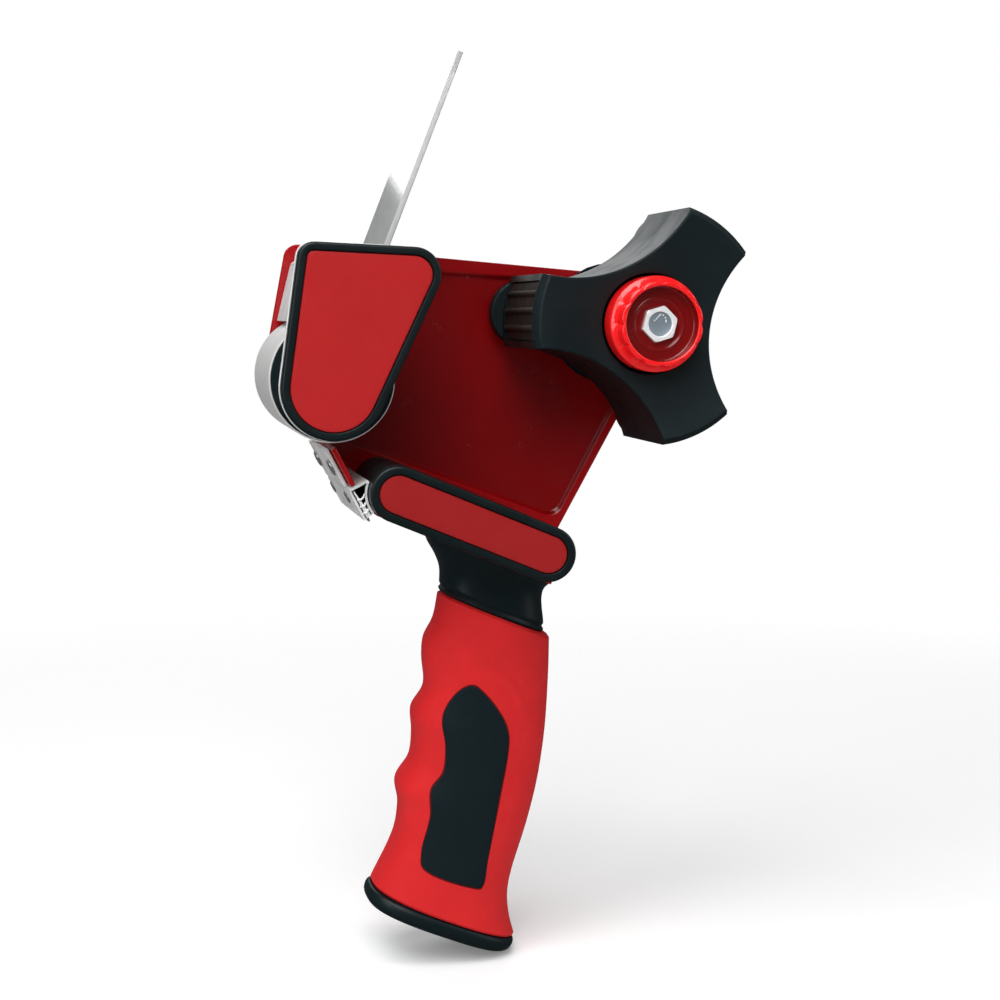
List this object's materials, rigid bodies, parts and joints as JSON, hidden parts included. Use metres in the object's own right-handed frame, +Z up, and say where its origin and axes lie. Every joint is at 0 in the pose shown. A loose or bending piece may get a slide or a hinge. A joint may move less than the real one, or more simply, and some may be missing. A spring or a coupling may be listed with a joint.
{
  "type": "hand-held tape dispenser",
  "caption": "Pistol-grip carton tape dispenser with a one-sided frame, lobed tape hub with brake knob, wetting roller, spring flap with clear guide strip and toothed cutter.",
  "frame": {"origin": "on the flat face of the bar cover's rim, above the middle of the handle", "axes": "+Z up with the handle pointing down, +Y from the covers on the open tape side towards the side plate, +X from the cutter towards the hub"},
  "size_m": [0.1495, 0.0707, 0.2837],
  "materials": {
    "painted_steel": "gloss enamel",
    "zinc_plate": "satin zinc plating",
    "black_rim": "satin",
    "red_panel": "satin",
    "dark_red_panel": "satin",
    "black_plastic": "fine moulded grain",
    "hub_plastic": "fine moulded grain",
    "red_grip": "soft matte",
    "black_grip": "soft matte",
    "steel": "bright zinc",
    "blade_steel": "ground",
    "spring_steel": "drawn wire",
    "bronze": "sintered",
    "grey_roller": "soft matte",
    "clear_strip": "clear sheet",
    "gloss_red": "gloss"
  },
  "bodies": {
    "frame": {"side_frame": "painted_steel", "head_plate": "zinc_plate", "head_cover_rim": "black_rim", "head_cover_panel": "red_panel", "bar_cover_rim": "black_rim", "bar_cover_panel": "dark_red_panel", "saddle_block": "black_plastic", "clamp_bolt_1": "steel", "clamp_bolt_2": "steel", "handle_core": "black_plastic", "grip_sleeve": "red_grip", "grip_inlay_near": "black_grip", "grip_inlay_far": "black_grip", "end_cap": "black_plastic", "end_cap_screw": "steel", "guide_plate": "zinc_plate", "guide_screw_1": "steel", "guide_screw_2": "steel", "blade_holder": "zinc_plate", "blade": "blade_steel", "blade_rivet_1": "steel", "blade_rivet_2": "steel", "roller_axle": "steel", "roller_nut": "steel", "flap_pin": "steel", "flap_spring": "spring_steel", "friction_disc": "black_grip", "axle_washer": "zinc_plate", "axle_nut": "steel"},
    "hub": {"hub_shell": "hub_plastic", "core_grip_1": "hub_plastic", "core_grip_2": "hub_plastic", "core_grip_3": "hub_plastic", "hub_bush": "bronze"},
    "roller": {"roller_core": "black_plastic", "roller_sleeve": "grey_roller", "roller_bush_near": "bronze", "roller_bush_far": "bronze"},
    "flap": {"flap_leaf": "zinc_plate", "guide_strip": "clear_strip", "strip_rivet_1": "steel", "strip_rivet_2": "steel"},
    "brake": {"tension_washer": "zinc_plate", "tension_spring": "spring_steel"},
    "knob": {"tension_knob": "gloss_red", "axle_bolt": "steel"}
  },
  "joints": [
    {"name": "hub_spin", "type": "hinge", "parent": "frame", "child": "hub", "pos_m": [0.06132, 0.0325, 0.06666], "axis": [0, 1, 0], "continuous": true},
    {"name": "roller_spin", "type": "hinge", "parent": "frame", "child": "roller", "pos_m": [-0.03859, 0.0325, 0.05026], "axis": [0, 1, 0], "continuous": true},
    {"name": "flap_swing", "type": "hinge", "parent": "frame", "child": "flap", "pos_m": [-0.04319, 0.0325, 0.08416], "axis": [0, 1, 0], "range_deg": [0, 20], "stiffness_Nm_per_rad": 0.15, "springref_deg": -17.19},
    {"name": "brake_travel", "type": "slide", "parent": "frame", "child": "brake", "axis": [0, 1, 0], "range_m": [-0.0005, 0.0005], "deforming": ["tension_spring"]},
    {"name": "knob_turn", "type": "hinge", "parent": "brake", "child": "knob", "pos_m": [0.06132, 0.009, 0.06666], "axis": [0, 1, 0], "range_deg": [-180, 180]}
  ],
  "couplings": [
    {"joint": "knob_turn", "follows": "brake_travel", "rad_per_m": 6283.2}
  ]
}
